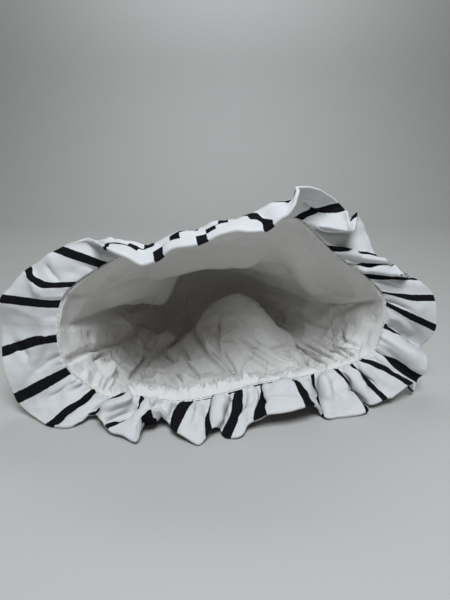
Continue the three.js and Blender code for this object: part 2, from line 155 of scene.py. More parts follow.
# Black stripes of the brim's inner and outer face: seam distance at the root and at the outer edge,
# the part of the stripe's width that shows at each, as gathers hide the rest, and its sideways sway.
INNER_STRIPES = [
    (15, 17, 0.9, 1.0, 0), (29.5, 31, 0.8, 0.8, -5), (48.5, 48, 1.1, 1.2, 0), (66, 66, 1.0, 1.0, 0),
    (84, 84, 1.0, 1.0, 0), (105, 105, 1.0, 1.0, 0), (141, 141, 1.0, 1.0, 0),
    (163.5, 166, 1.2, 1.3, 0), (191.5, 190.5, 0.9, 0.45, 0), (208, 205, 0.05, 1.2, 0),
    (223.5, 223.5, 1.3, 0.9, 0), (239.5, 239, 0.35, 0.8, 1.5), (249.5, 250, 0.6, 0.9, 0),
    (264, 262, 0.6, 0.05, 0), (281, 280, 0.05, 1.2, 0), (294.5, 294, 0.7, 1.0, 0),
    (301, 304, 0.35, 0.8, 0), (313, 317, 0.6, 0.8, -2), (327.5, 326, 0.5, 0.6, 0),
    (342, 341, 0.5, 1.5, 0), (362, 364.5, 0.4, 1.5, 0), (377.5, 379, 1.0, 1.2, -2),
    (391, 391.5, 0.9, 1.0, 2.5), (408.5, 409.5, 1.3, 1.5, 0), (436.5, 443, 0.5, 0.6, 0),
    (447, 455, 0.8, 0.9, -3), (468, 469, 0.9, 1.1, 0), (487.5, 486.5, 1.0, 1.2, 0),
    (508.5, 506, 0.9, 1.1, 1),
]
STRAIGHT_STRIPES = (8, 24, 42, 198, 214, 230, 244, 256, 270, 288, 298, 309, 325, 340, 355, 371, 385,
                    400, 459, 477, 496)
OUTER_STRIPES = sorted([(place, place, 1, 1, 0) for place in STRAIGHT_STRIPES] + [
    (80, 66, 1, 1, 0), (104, 84, 1, 1, 0), (121, 105, 1, 1, 0), (128, 141, 1, 1, 0),
    (146, 160, 1, 0.6, 0), (172, 177, 1, 1, 0), (424, 428, 1.2, 1.4, 0), (444, 450, 1, 1, 0),
])
# A brim stripe's coordinate is true for this part of its width each way, and for no more than this
# part of the gap to the next one.
TRUE_WIDTH = 0.8
TRUE_GAP = 0.45


def smooth(value):
    clamped = np.clip(value, 0.0, 1.0)
    return clamped * clamped * (3.0 - 2.0 * clamped)


def mix(low, high, amount):
    return low + (high - low) * amount


def between(value, start, start_run, end, end_run):
    """1 from start to end, rising over the first run and falling over the second."""
    return smooth((value - start) / start_run) * (1.0 - smooth((value - end) / end_run))


def spline_rows(table, positions, closed):
    """Catmull-Rom rows of a table at positions counted in rows."""
    count = len(table)
    start = np.floor(positions).astype(int)
    if not closed:
        start = np.clip(start, 0, count - 2)
    t = (positions - start)[:, None]

    def pick(offset):
        index = start + offset
        return table[index % count] if closed else table[np.clip(index, 0, count - 1)]

    a, b, c, d = pick(-1), pick(0), pick(1), pick(2)
    return 0.5 * (2 * b + (c - a) * t + (2 * a - 5 * b + 4 * c - d) * t**2
                  + (3 * b - a - 3 * c + d) * t**3)


def run_along(points):
    """Running length of lines of points along the first axis."""
    steps = np.linalg.norm(np.diff(points, axis=0), axis=-1)
    return np.concatenate([np.zeros_like(steps[:1]), np.cumsum(steps, axis=0)])


SEAM_STEPS = 24
SEAM_SAMPLES = spline_rows(SEAM, np.arange(len(SEAM) * SEAM_STEPS + 1) / SEAM_STEPS, True)
SEAM_RUN = run_along(SEAM_SAMPLES)
SEAM_LENGTH = SEAM_RUN[-1]


def seam_points(distance):
    run = np.mod(distance, SEAM_LENGTH)
    return np.stack([np.interp(run, SEAM_RUN, SEAM_SAMPLES[:, k]) for k in range(3)], axis=-1)


def section_points(angle, section):
    """Pillow-shaped section: a low pointed roof over a flat floor, meeting in the side creases."""
    depth, half, middle, waist, roof, floor = (section[..., k] for k in range(6))
    rise = np.sin(angle)
    upper = rise > 0
    deep = smooth(depth / PILLOW_DEPTH)
    power = np.where(upper, mix(*ROOF_POWER, deep), mix(*FLOOR_POWER, deep))
    spread = np.where(upper, 1.0, mix(*FLOOR_SPREAD, deep))
    height = np.minimum(1.0, spread * np.abs(rise) ** power)
    x = middle + half * np.cos(angle)
    z = mix(waist, np.where(upper, roof, floor), height)
    y = SECTION_START + depth + YAW * (x - SECTIONS[0, 2])
    return np.stack([x, y, z], axis=-1)


def fold_push(fold, x, y):
    """How far a fold moves the points at x, y into the hollow, in millimetres."""
    x1, y1, x2, y2, width1, width2, push1, push2 = fold
    along_x, along_y = x2 - x1, y2 - y1
    along = np.clip(((x - x1) * along_x + (y - y1) * along_y) / (along_x**2 + along_y**2), 0, 1)
    away = np.hypot(x - x1 - along_x * along, y - y1 - along_y * along)
    push = mix(push1, push2, along) * smooth(1.0 - away / mix(width1, width2, along))
    over = push - FOLD_FOOT
    rest = math.hypot(FOLD_FOOT, FOLD_SOFTNESS) - FOLD_FOOT
    return 0.5 * (over + np.hypot(over, FOLD_SOFTNESS) - rest)


def crown_points(distance, position):
    """Middle surface between crown and lining, for arrays of seam distance and table position."""
    shape = distance.shape
    distance, position = distance.ravel(), position.ravel()
    seam = seam_points(distance)
    angle = np.arctan2((seam[:, 2] - OPENING_MIDDLE) / OPENING_HALF_HEIGHT,
                       (seam[:, 0] - SECTIONS[0, 2]) / SECTIONS[0, 1])
    section = spline_rows(SECTIONS, position, False)
    points = section_points(angle, section)
    start = section_points(angle, np.broadcast_to(SECTIONS[0], section.shape))
    points += (seam - start) * (1.0 - smooth(section[:, 0] / SEAM_REACH))[:, None]
    lower = np.sin(angle) < 0
    flat = smooth(np.abs(np.sin(angle)) * CREASE_CALM)
    floor_push = np.max([fold_push(f, points[:, 0], points[:, 1]) for f in FLOOR_FOLDS], axis=0)
    roof_push = np.max([fold_push(f, points[:, 0], points[:, 1]) for f in ROOF_FOLDS], axis=0)
    calm = flat * (1.0 - smooth((section[:, 0] - TIP_CALM_DEPTH) / TIP_CALM_RUN))
    room = ROOF_ROOM * np.maximum(0.0, points[:, 2] - section[:, 3])
    points[:, 2] += np.where(lower, floor_push * calm, -np.minimum(roof_push * calm, room))
    return points.reshape(*shape, 3)


def brim_rows(position):
    """Root, middle and edge points of the brim at positions counted in folds."""
    rows = spline_rows(BRIM_FOLDS[:, 1:], position, True)
    at = np.append(BRIM_FOLDS[:, 0], BRIM_FOLDS[0, 0] + SEAM_LENGTH)
    distance = np.interp(position, np.arange(len(at)), at)
    root = seam_points(distance)
    along = seam_points(distance + TANGENT_STEP) - seam_points(distance - TANGENT_STEP)
    along /= np.linalg.norm(along, axis=1, keepdims=True)
    edge = rows[:, :3]
    outer = np.cross(edge - root, along)
    outer /= np.linalg.norm(outer, axis=1, keepdims=True)
    middle = mix(root, edge, BOW_PLACE) + outer * rows[:, 3:] * BOW_GAIN
    return distance, root, middle, edge


def stripe_coordinate(points, distance, stripes, shift, widen):
    """Millimetres along each brim ring, true beside every stripe, with a stripe at each whole pitch.

    For each ring, shift and widen say how far its stripes are from the root's place and width to the
    outer edge's.
    """
    run = run_along(np.concatenate([points, points[:1]]))
    columns = np.arange(len(run))
    seam_run = np.append(np.unwrap(distance, period=SEAM_LENGTH), distance[0] + SEAM_LENGTH)
    roots, edges, root_widths, edge_widths, sways = np.array(stripes, dtype=float).T
    reach = STRIPE_WIDTH * TRUE_WIDTH
    result = np.empty(run.shape)
    for ring in range(points.shape[1]):
        whole = run[-1, ring]
        sway = sways * math.sin(math.pi * BRIM_PLACES[ring])
        marks = np.interp(mix(roots, edges, shift[ring]) + sway, seam_run, columns)
        centres = np.interp(marks, columns, run[:, ring])
        centres = np.concatenate([[centres[-1] - whole], centres, [centres[0] + whole]])
        widths = mix(root_widths, edge_widths, widen[ring])
        widths = np.concatenate([[widths[-1]], widths, [widths[0]]])
        gaps = np.diff(centres)
        room = TRUE_GAP * np.minimum(np.append(gaps, gaps[-1]), np.insert(gaps, 0, gaps[0]))
        near = np.minimum(reach * widths, room)
        known = np.stack([centres - near, centres + near], axis=1).ravel()
        counts = np.arange(len(centres))[:, None] * STRIPE_PITCH
        values = (counts + np.array([[-reach, reach]])).ravel()
        result[:, ring] = np.interp(run[:, ring], known, values)
    return result


def grid_normals(points, wraps):
    """Unit normals of a grid of points whose columns close into a ring where it wraps."""
    if wraps:
        around = np.roll(points, -1, axis=0) - np.roll(points, 1, axis=0)
    else:
        around = np.gradient(points, axis=0)
    inward = np.gradient(points, axis=1)
    normals = np.cross(around, inward)
    size = np.linalg.norm(normals, axis=2, keepdims=True)
    return normals / np.maximum(size, 1e-9)


def pixels_of(points):
    """Photo pixels of layout points."""
    ahead = points[..., 1] - CAMERA_PLACE[1]
    below = CAMERA_PLACE[2] - points[..., 2]
    depth = ahead * math.cos(CAMERA_PITCH) + below * math.sin(CAMERA_PITCH)
    right = points[..., 0] - CAMERA_PLACE[0]
    down = below * math.cos(CAMERA_PITCH) - ahead * math.sin(CAMERA_PITCH)
    return np.stack([IMAGE_WIDTH / 2 + FOCAL_PIXELS * right / depth,
                     IMAGE_HEIGHT / 2 + FOCAL_PIXELS * down / depth], axis=-1)


HASH_FACTORS = (127.1, 311.7, 74.7, 19.19)
HASH_GAIN = 43758.5453


def hashed(i, j, k, seed):
    """Repeatable number from 0 to 1 for each lattice point."""
    mixed = np.sin(sum(part * factor for part, factor in zip((i, j, k, seed), HASH_FACTORS))) * HASH_GAIN
    return mixed - np.floor(mixed)


def value_noise(x, y, seed):
    """Smooth noise in -1..1 over a unit lattice."""
    i, j = np.floor(x), np.floor(y)
    u, v = smooth(x - i), smooth(y - j)
    top = mix(hashed(i, j, 0, seed), hashed(i + 1, j, 0, seed), u)
    bottom = mix(hashed(i, j + 1, 0, seed), hashed(i + 1, j + 1, 0, seed), u)
    return 2.0 * mix(top, bottom, v) - 1.0


def crumple(points, size, seed):
    """Facets meeting in creases: distance to the nearest of scattered points, from 0 to about 1."""
    place = points / size
    base = np.floor(place)
    nearest = np.full(points.shape[:-1], np.inf)
    for step in np.ndindex(3, 3, 3):
        cell = np.moveaxis(base + step - 1.0, -1, 0)
        spot = [cell[axis] + hashed(*cell, seed + 5.0 * axis) for axis in range(3)]
        away = sum((place[..., axis] - spot[axis]) ** 2 for axis in range(3))
        nearest = np.minimum(nearest, away)
    return np.sqrt(nearest)


# A drawn crease fades over this part of its length at each end, nearly to nothing.
CREASE_FADE = 0.3
CREASE_END = 0.15
CREASE_SHARPNESS = 1.5


def crease_push(pixels, creases):
    """Push in millimetres of drawn creases, towards the hollow where positive."""
    push = np.zeros(pixels.shape[:-1])
    for height, *widths, line in creases:
        line = np.reshape(line, (-1, 2)).astype(float)
        steps = np.diff(line, axis=0)
        lengths = np.hypot(steps[:, 0], steps[:, 1])
        run = np.concatenate([[0.0], np.cumsum(lengths)])
        best = np.full(push.shape, np.inf)
        side = np.zeros(push.shape)
        place = np.zeros(push.shape)
        for k, (start, step, length) in enumerate(zip(line[:-1], steps, lengths)):
            offset = pixels - start
            along = np.clip((offset @ step) / length**2, 0.0, 1.0)
            gap = offset - along[..., None] * step
            away = np.hypot(gap[..., 0], gap[..., 1])
            closer = away < best
            best = np.where(closer, away, best)
            side = np.where(closer, step[0] * offset[..., 1] - step[1] * offset[..., 0], side)
            place = np.where(closer, run[k] + along * length, place)
        width = np.where(side > 0, widths[-1], widths[0])
        from_end = np.minimum(place, run[-1] - place)
        fade = smooth(from_end / (CREASE_FADE * run[-1]) + CREASE_END)
        push += height * fade * np.clip(1.0 - best / width, 0.0, 1.0) ** CREASE_SHARPNESS
    return push


def mesh_object(name, vertices, faces, material):
    """Smooth mesh object in the scene."""
    mesh = bpy.data.meshes.new(name)
    mesh.from_pydata(vertices, [], faces)
    mesh.polygons.foreach_set("use_smooth", [True] * len(faces))
    mesh.materials.append(material)
    made = bpy.data.objects.new(name, mesh)
    bpy.context.scene.collection.objects.link(made)
    return made


def row_frame(points):
    """Layout points as vertices in the row's frame, in metres."""
    return ((points - LAYOUT_CENTRE) * MM).tolist()


def grid_object(name, points, cloth, wraps, material, cap=None):
    """Grid of layout points with a cloth coordinate (millimetres) per corner."""
    columns, rings = points.shape[:2]
    vertices = row_frame(points.reshape(-1, 3))
    faces = []
    corners = []
    last = columns if wraps else columns - 1
    for i in range(last):
        after = (i + 1) % columns
        for j in range(rings - 1):
            faces.append((i * rings + j, after * rings + j, after * rings + j + 1, i * rings + j + 1))
            corners += [cloth[i, j], cloth[i + 1, j], cloth[i + 1, j + 1], cloth[i, j + 1]]
    if cap is not None:
        vertices.append(row_frame(cap))
        for i in range(last):
            after = (i + 1) % columns
            faces.append((i * rings + rings - 1, after * rings + rings - 1, len(vertices) - 1))
            middle = 0.5 * (cloth[i, -1] + cloth[i + 1, -1])
            corners += [cloth[i, -1], cloth[i + 1, -1], middle]
    piece = mesh_object(name, vertices, faces, material)
    layer = piece.data.uv_layers.new(name="cloth")
    layer.data.foreach_set("uv", np.array(corners, dtype=float).ravel())
    return piece


class Nodes:
    """Adds and links shader nodes."""

    def __init__(self, material):
        material.use_nodes = True
        self.tree = material.node_tree
        self.shader = self.tree.nodes["Principled BSDF"]

    def node(self, kind, **values):
        made = self.tree.nodes.new("ShaderNode" + kind)
        for name, value in values.items():
            setattr(made, name, value)
        return made

    def link(self, source, target):
        self.tree.links.new(source, target)

    def math(self, operation, first, second=None):
        made = self.node("Math", operation=operation)
        for socket, value in zip(made.inputs, (first, second)):
            if value is None:
                continue
            if isinstance(value, (int, float)):
                socket.default_value = value
            else:
                self.link(value, socket)
        return made.outputs[0]

    def times(self, first, second):
        return self.math("MULTIPLY", first, second)

    def combine(self, x, y):
        made = self.node("CombineXYZ")
        self.link(x, made.inputs[0])
        self.link(y, made.inputs[1])
        return made.outputs[0]

    def ranged(self, value, low, high, first, second):
        """Value's range from low to high, mapped to first to second and held there."""
        made = self.node("MapRange")
        self.link(value, made.inputs["Value"])
        limits = {"From Min": low, "From Max": high, "To Min": first, "To Max": second}
        for name, limit in limits.items():
            made.inputs[name].default_value = limit
        return made.outputs["Result"]

    def bump(self, height, distance, strength, under=None):
        made = self.node("Bump")
        made.inputs["Strength"].default_value = strength
        made.inputs["Distance"].default_value = distance
        self.link(height, made.inputs["Height"])
        if under is not None:
            self.link(under, made.inputs["Normal"])
        return made.outputs[0]

    def noise(self, vector, scale, detail=2.0):
        made = self.node("TexNoise")
        made.inputs["Scale"].default_value = scale
        made.inputs["Detail"].default_value = detail
        self.link(vector, made.inputs["Vector"])
        return made.outputs["Fac"]

    def stretched_noise(self, x, y, across, along):
        """Noise with so many turns a millimetre across and along a thread."""
        return self.noise(self.combine(self.times(x, across), self.times(y, along)), 1.0)

    def mix_colour(self, amount, first, second):
        made = self.node("Mix", data_type="RGBA")
        self.link(amount, made.inputs[0])
        for socket, value in ((made.inputs[6], first), (made.inputs[7], second)):
            if isinstance(value, tuple):
                socket.default_value = (*value, 1.0)
            else:
                self.link(value, socket)
        return made.outputs[2]


# Pressed creases of the lining: heights that they fade over, their width, the cells' stretch and how
# far they waver, and facet size and depth of each layer of cells.
LOW_SIDE = (40 * MM, 65 * MM)
LOW_SIDE_REST = 0.1
PRESSED_WIDTH = 0.9 * MM
PRESSED_STRETCH = (1.0, 0.55, 0.8)
PRESSED_WAVER = 5 * MM
PRESSED_WAVER_SCALE = 90.0
PRESSED_LAYERS = ((17 * MM, 0.6 * MM), (9 * MM, 0.25 * MM))
# Creases are kept where a noise of this scale, in facets, rises through this range.
KEPT_SCALE = 0.55
KEPT_RANGE = (0.46, 0.60)


def pressed_creases(nodes, under):
    """Thin creases between the flat facets of crumpled cloth, on its low side alone."""
    place = nodes.node("TexCoord").outputs["Object"]
    split = nodes.node("SeparateXYZ")
    nodes.link(place, split.inputs[0])
    low_side = nodes.ranged(split.outputs[2], *LOW_SIDE, 1.0, LOW_SIDE_REST)
    waver = nodes.node("TexNoise")
    waver.inputs["Scale"].default_value = PRESSED_WAVER_SCALE
    nodes.link(place, waver.inputs["Vector"])
    offset = nodes.node("VectorMath", operation="SCALE")
    nodes.link(waver.outputs["Color"], offset.inputs[0])
    offset.inputs["Scale"].default_value = PRESSED_WAVER
    bent = nodes.node("VectorMath", operation="MULTIPLY_ADD")
    nodes.link(place, bent.inputs[0])
    bent.inputs[1].default_value = PRESSED_STRETCH
    nodes.link(offset.outputs[0], bent.inputs[2])
    for facet, depth in PRESSED_LAYERS:
        cells = nodes.node("TexVoronoi", feature="DISTANCE_TO_EDGE")
        cells.inputs["Scale"].default_value = 1.0 / facet
        nodes.link(bent.outputs[0], cells.inputs["Vector"])
        groove = nodes.ranged(cells.outputs["Distance"], 0.0, PRESSED_WIDTH / facet, 1.0, 0.0)
        kept = nodes.ranged(nodes.noise(place, KEPT_SCALE / facet, 0.0), *KEPT_RANGE, 0.0, 1.0)
        height = nodes.times(nodes.times(groove, kept), low_side)
        under = nodes.bump(nodes.times(height, -1.0), depth, 1.0, under)
    return under


# Weave, in millimetres: thread pitch, slubs a millimetre across and along a thread, the range that
# the colour follows, and the part of the white that thin places keep.
THREAD_PITCH = 0.5
SLUB_ACROSS = 2.4
SLUB_ALONG = 0.12
SLUB_RANGE = (0.7, 1.3)
THIN_SHARE = 0.93
WEAVE_SHARE = 0.25
WEAVE_DEPTH = 0.15 * MM
WEAVE_STRENGTH = 0.5
# Ragged sides of the black stripes, and the crossing diagonals whose peaks show as pale flecks.
RAGGED_ACROSS = 0.4
RAGGED_ALONG = 1.4
RAGGED_WIDTH = 0.9
FLECK_TURN = 3.4
FLECK_LEVEL = 0.6
BLACK = (0.003, 0.003, 0.004)
FLECK_GREY = (0.045, 0.045, 0.05)


def stripe_mask(nodes, x, y):
    """1 inside the black stripes of cloth coordinates x, y."""
    part = nodes.math("FRACT", nodes.math("ADD", nodes.math("DIVIDE", x, STRIPE_PITCH), 0.5))
    from_middle = nodes.math("ABSOLUTE", nodes.math("SUBTRACT", part, 0.5))
    away = nodes.times(from_middle, STRIPE_PITCH)
    torn = nodes.stretched_noise(x, y, RAGGED_ACROSS, RAGGED_ALONG)
    ragged = nodes.times(nodes.math("SUBTRACT", torn, 0.5), RAGGED_WIDTH)
    return nodes.math("LESS_THAN", nodes.math("ADD", away, ragged), STRIPE_WIDTH / 2)


def flecked_black(nodes, x, y):
    """Black with the pale flecks of a twill."""
    diagonal = nodes.math("SINE", nodes.times(nodes.math("ADD", x, y), FLECK_TURN))
    counter = nodes.math("SINE", nodes.times(nodes.math("SUBTRACT", x, y), FLECK_TURN))
    fleck = nodes.math("GREATER_THAN", nodes.times(diagonal, counter), FLECK_LEVEL)
    return nodes.mix_colour(fleck, BLACK, FLECK_GREY)


def cloth_material(name, white, striped=False, creased=False):
    """Woven cotton: cross threads and slubs, and where asked black stripes or pressed creases."""
    material = bpy.data.materials.new(name)
    nodes = Nodes(material)
    uv = nodes.node("UVMap", uv_map="cloth").outputs[0]
    split = nodes.node("SeparateXYZ")
    nodes.link(uv, split.inputs[0])
    x, y = split.outputs[0], split.outputs[1]
    warp = nodes.math("SINE", nodes.times(x, 2 * math.pi / THREAD_PITCH))
    weft = nodes.math("SINE", nodes.times(y, 2 * math.pi / THREAD_PITCH))
    weave = nodes.times(warp, weft)
    slub = nodes.math("ADD", nodes.stretched_noise(x, y, SLUB_ACROSS, SLUB_ALONG),
                      nodes.stretched_noise(x, y, SLUB_ALONG, SLUB_ACROSS))
    thin = tuple(channel * THIN_SHARE for channel in white)
    colour = nodes.mix_colour(nodes.ranged(slub, *SLUB_RANGE, 0.0, 1.0), thin, white)
    if striped:
        colour = nodes.mix_colour(stripe_mask(nodes, x, y), colour, flecked_black(nodes, x, y))
    nodes.link(colour, nodes.shader.inputs["Base Color"])
    nodes.shader.inputs["Roughness"].default_value = 0.9
    nodes.shader.inputs["Specular IOR Level"].default_value = 0.04
    height = nodes.math("ADD", nodes.times(weave, WEAVE_SHARE), slub)
    relief = nodes.bump(height, WEAVE_DEPTH, WEAVE_STRENGTH)
    if creased:
        relief = pressed_creases(nodes, relief)
    nodes.link(relief, nodes.shader.inputs["Normal"])
    return material


CROWN_COLUMNS = 560
CROWN_RINGS = 176
# Seam distances in the middle of the top and of the underside.
TOP_CENTRE = 128.0
UNDERSIDE_CENTRE = 373.0
# Lowest place of each cloth over the table.
CROWN_LOWEST = 0.2
LINING_LOWEST = 1.4
BAND_LOWEST = 1.6
BRIM_LOWEST = 0.4
# Relief of the crown's outer cloth: gathers, as size, length, height and seed, their reach from the
# seam, its facets, and how far the whole cloth sinks to make room for them.
CROWN_GATHERS = ((4.3, 40.0, 1.0, 1.0), (9.0, 60.0, 0.8, 2.0))
CROWN_GATHER_REACH = 16.0
CROWN_FACET_SIZE = 30.0
CROWN_FACET_HEIGHT = 2.6
CROWN_SINK = 1.2
CROWN_RELIEF_RUN = 12.0
CROWN_SEAM_RELIEF = 0.1

# The lining's mesh is finest where the opening shows it: parts of its columns and the seam distances
# that they reach, and parts of its rings and their section rows.
LINING_COLUMNS = ((0.0, 0.31, 0.935, 1.0), (0.0, 285.0, 485.0, SEAM_LENGTH))
LINING_RINGS = ((0.0, 0.15, 0.32, 0.51, 0.68, 1.0), (0.0, 1.0, 2.0, 3.0, 4.0, LAST_ROW))

# Creases of the lining, drawn over the photo: height, width in pixels or widths on the line's left
# and right, and x, y of the line's points in turn. A negative height is a valley.
LINING_CREASES = [
    (-3.0, 12, 7, (57, 328, 75, 322, 90, 318, 110, 311, 130, 306, 150, 299, 160, 298)),
    (2.6, 4, 12, (110, 311, 117, 322, 122, 332, 130, 340, 140, 345, 150, 352)),
    (-5.0, 4, (206, 314, 190, 332, 180, 341, 170, 350, 160, 358, 151, 366, 142, 374)),
    (0.9, 9, (192, 317, 182, 328, 172, 337, 162, 345, 148, 355)),
    (1.3, 8, (207, 329, 198, 340, 188, 349, 178, 358, 165, 367)),
    (-5.0, 3.5, (158, 346, 150, 356, 143, 365, 135, 375, 127, 384)),
    (-2.6, 7, 4, (64, 364, 75, 356, 88, 351)), (-1.6, 8, 5, (88, 351, 110, 348, 130, 342)),
    (-1.5, 3, (82, 332, 85, 345)), (-1.6, 3.5, (100, 290, 113, 283, 125, 277, 150, 272)),
    (-1.5, 3, (62, 295, 75, 292, 88, 288)), (-1.5, 3, (104, 270, 112, 274, 125, 268)),
    (-2.8, 6, (382, 298, 360, 304, 345, 310, 335, 313)),
    (-2.2, 6, 8, (335, 313, 315, 304, 300, 297, 280, 292, 262, 287)),
    (1.8, 5, 16, (240, 260, 265, 262, 300, 268, 320, 280, 345, 290, 372, 297)),
    (-1.6, 2.5, (211, 268, 212, 309)), (-1.8, 3, (222, 322, 220, 343)), (-1.2, 3, (220, 343, 234, 343)),
    (2.2, 5, (206, 330, 210, 345, 213, 356)),
    (-2.0, 3.5, (197, 328, 202, 345, 208, 358, 217, 366, 229, 380)),
    (-1.8, 3, (222, 352, 230, 366, 236, 376)), (2.4, 6, 8, (276, 326, 282, 334, 290, 344, 300, 348)),
    (-2.2, 3, (282, 326, 288, 338, 298, 345)),
    (-2.6, 3, (233, 341, 248, 349, 262, 357, 275, 366, 289, 375)),
    (-1.8, 2.5, (245, 341, 262, 351, 280, 360, 292, 368, 298, 375)),
    (-1.8, 2.5, (256, 358, 267, 368, 279, 378)), (-2.0, 2.5, (270, 350, 287, 356, 300, 364, 312, 373)),
    (-2.0, 2.5, (290, 349, 305, 356, 318, 364, 328, 372)),
    (-2.0, 2.5, (312, 342, 325, 350, 338, 358, 350, 364)),
    (-1.5, 2.5, (300, 345, 313, 352, 330, 362, 338, 368)), (-1.8, 2.5, (330, 350, 345, 356, 356, 361)),
    (-1.5, 3, (345, 330, 350, 345, 365, 352)), (-2.0, 3.5, (186, 352, 189, 362, 193, 366)),
    (-1.8, 3, (200, 388, 196, 376, 186, 366)), (-1.8, 3, (100, 362, 110, 370, 116, 378)),
    (-1.8, 3, (88, 364, 98, 358, 106, 362)), (2.4, 6, (100, 368, 108, 376, 104, 384)),
    (-1.8, 2.5, (66, 365, 85, 353, 105, 352)), (-1.8, 2.5, (105, 354, 115, 368, 132, 376)),
    (-1.6, 2.5, (87, 360, 93, 366, 100, 380)), (-1.8, 2.5, (132, 375, 153, 378, 177, 382, 187, 395)),
    (-1.8, 2.5, (160, 360, 177, 367, 183, 358, 187, 350)),
    (-1.6, 2.5, (205, 357, 215, 358, 227, 370, 235, 383)), (-1.8, 2.5, (218, 333, 220, 355, 228, 367)),
    (-1.8, 2.5, (237, 338, 252, 357, 268, 368, 290, 375)), (-1.6, 2.5, (252, 345, 268, 352, 288, 348)),
    (-1.8, 2.5, (268, 352, 293, 363, 310, 373)), (-1.8, 2.5, (288, 350, 310, 357, 327, 362)),
    (-1.4, 2.5, (290, 365, 298, 370, 310, 367)), (-1.6, 2.5, (243, 358, 260, 368, 277, 377)),
    (1.6, 5, 3, (133, 379, 150, 376, 163, 380, 178, 385, 196, 388)),
    (1.4, 4, 3, (148, 388, 160, 384, 172, 388, 186, 394)), (-1.4, 2.5, (306, 318, 322, 326, 340, 330)),
    (-1.4, 2.5, (318, 300, 335, 303, 360, 301, 380, 297)),
]


# Gathers from the nape seam into the hollow: seam distances with fades, slant, and size, length,
# height, reach and seed of the large and the small ones.
NAPE = (285.0, 25.0, 470.0, 25.0)
NAPE_SLANT = 0.65
NAPE_GATHERS = ((5.0, 60.0, 3.0, 26.0, 8.0), (2.6, 30.0, 1.6, 14.0, 9.0))
NAPE_SINK = 0.8

# Facets of the loose lining: size, height and seed, and the level that they rise and fall about.
LINING_FACETS = ((22.0, 4.0, 11.0), (10.0, 2.2, 12.0), (5.0, 0.8, 13.0))
FACET_LEVEL = 3.2
SEAM_FACET_SHARE = 0.4
FLAT_FACET_SHARE = 0.5
# The lining is roof from this height, over this run, and flat to the left of this x, over this run.
ROOF_START, ROOF_RUN = 38.0, 25.0
FLAT_LEFT, FLAT_RUN = -50.0, 20.0
# How far the lining stands off beside the seam and in the hollow, on the floor and on the roof.
SEAM_PUFF = (1.8, 0.2)
SEAM_PUFF_RUN = 7.0
HOLLOW_PUFF = (2.4, 3.6)
HOLLOW_PUFF_RUN = 24.0
# Gain of the drawn creases on the floor, and on the roof beside the seam and in the hollow.
FLOOR_CREASES = 2.6
ROOF_CREASES = (0.9, 1.5)
# Small puckers of the roof beside the seam: size, slant, height, reach.
ROOF_PUCKERS = (5.0, 0.3, 1.1, 18.0)
# At the tip the lining lies close to the crown.
TIP_DEPTH, TIP_RUN, TIP_PUFF = 106.0, 22.0, 0.08
SEWN_WIDTH, SEWN_RUN = 0.5, 2.0


def crown_surface(distance, position):
    """Middle surface of crown and lining with its cloth coordinates in millimetres."""
    at, ring = np.meshgrid(distance, position, indexing="ij")
    points = crown_points(at, ring)
    depth = np.interp(ring, np.arange(len(SECTIONS)), SECTIONS[:, 0])
    return points, at, depth


def shifted(points, distance, lowest):
    """Points moved outwards by a distance, but not below the lowest place."""
    moved = points + grid_normals(points, True) * np.asarray(distance)[..., None]
    moved[..., 2] = np.maximum(moved[..., 2], lowest)
    return moved


def make_crown(material):
    """Outer cloth, its stripes front to back, counted both ways round from the top."""
    columns = UNDERSIDE_CENTRE + np.arange(CROWN_COLUMNS) / CROWN_COLUMNS * SEAM_LENGTH
    points, at, depth = crown_surface(columns, np.linspace(0.0, LAST_ROW, CROWN_RINGS))
    gathers = sum(height * value_noise(at / size, depth / length, seed)
                  for size, length, height, seed in CROWN_GATHERS)
    facets = CROWN_FACET_HEIGHT * crumple(points, CROWN_FACET_SIZE, seed=3.0)
    relief = gathers * np.exp(-depth / CROWN_GATHER_REACH) + facets
    relief = relief * smooth(depth / CROWN_RELIEF_RUN + CROWN_SEAM_RELIEF)
    moved = shifted(points, CROWN_OFFSET + relief - CROWN_SINK, CROWN_LOWEST)
    across = run_along(np.concatenate([moved, moved[:1]]))
    top = np.argmin(np.abs(columns - SEAM_LENGTH - TOP_CENTRE))
    cloth = np.stack([across - across[top], np.concatenate([depth, depth[:1]])], axis=-1)
    tip = moved[:, -1].mean(axis=0) + np.array([0.0, 0.6, 0.0])
    piece = grid_object("crown_cloth", moved, cloth, True, material, tip)
    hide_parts("crown_upper", "crown_lower")
    return piece


def nape_gathers(at, depth):
    """Gathers that run from the nape seam into the hollow, slanting to the left."""
    slanted = at - NAPE_SLANT * depth
    height = -NAPE_SINK
    for size, length, rise, reach, seed in NAPE_GATHERS:
        fold = 1.0 - np.abs(value_noise(slanted / size, depth / length, seed))
        height = height + rise * fold * np.exp(-depth / reach)
    return between(at, *NAPE) * height


def roof_puckers(at, depth):
    """Small puckers beside the seam."""
    size, slant, height, reach = ROOF_PUCKERS
    fold = 1.0 - np.abs(value_noise((at - slant * depth) / size, depth / 40.0, seed=14.0))
    return height * fold * np.exp(-depth / reach)


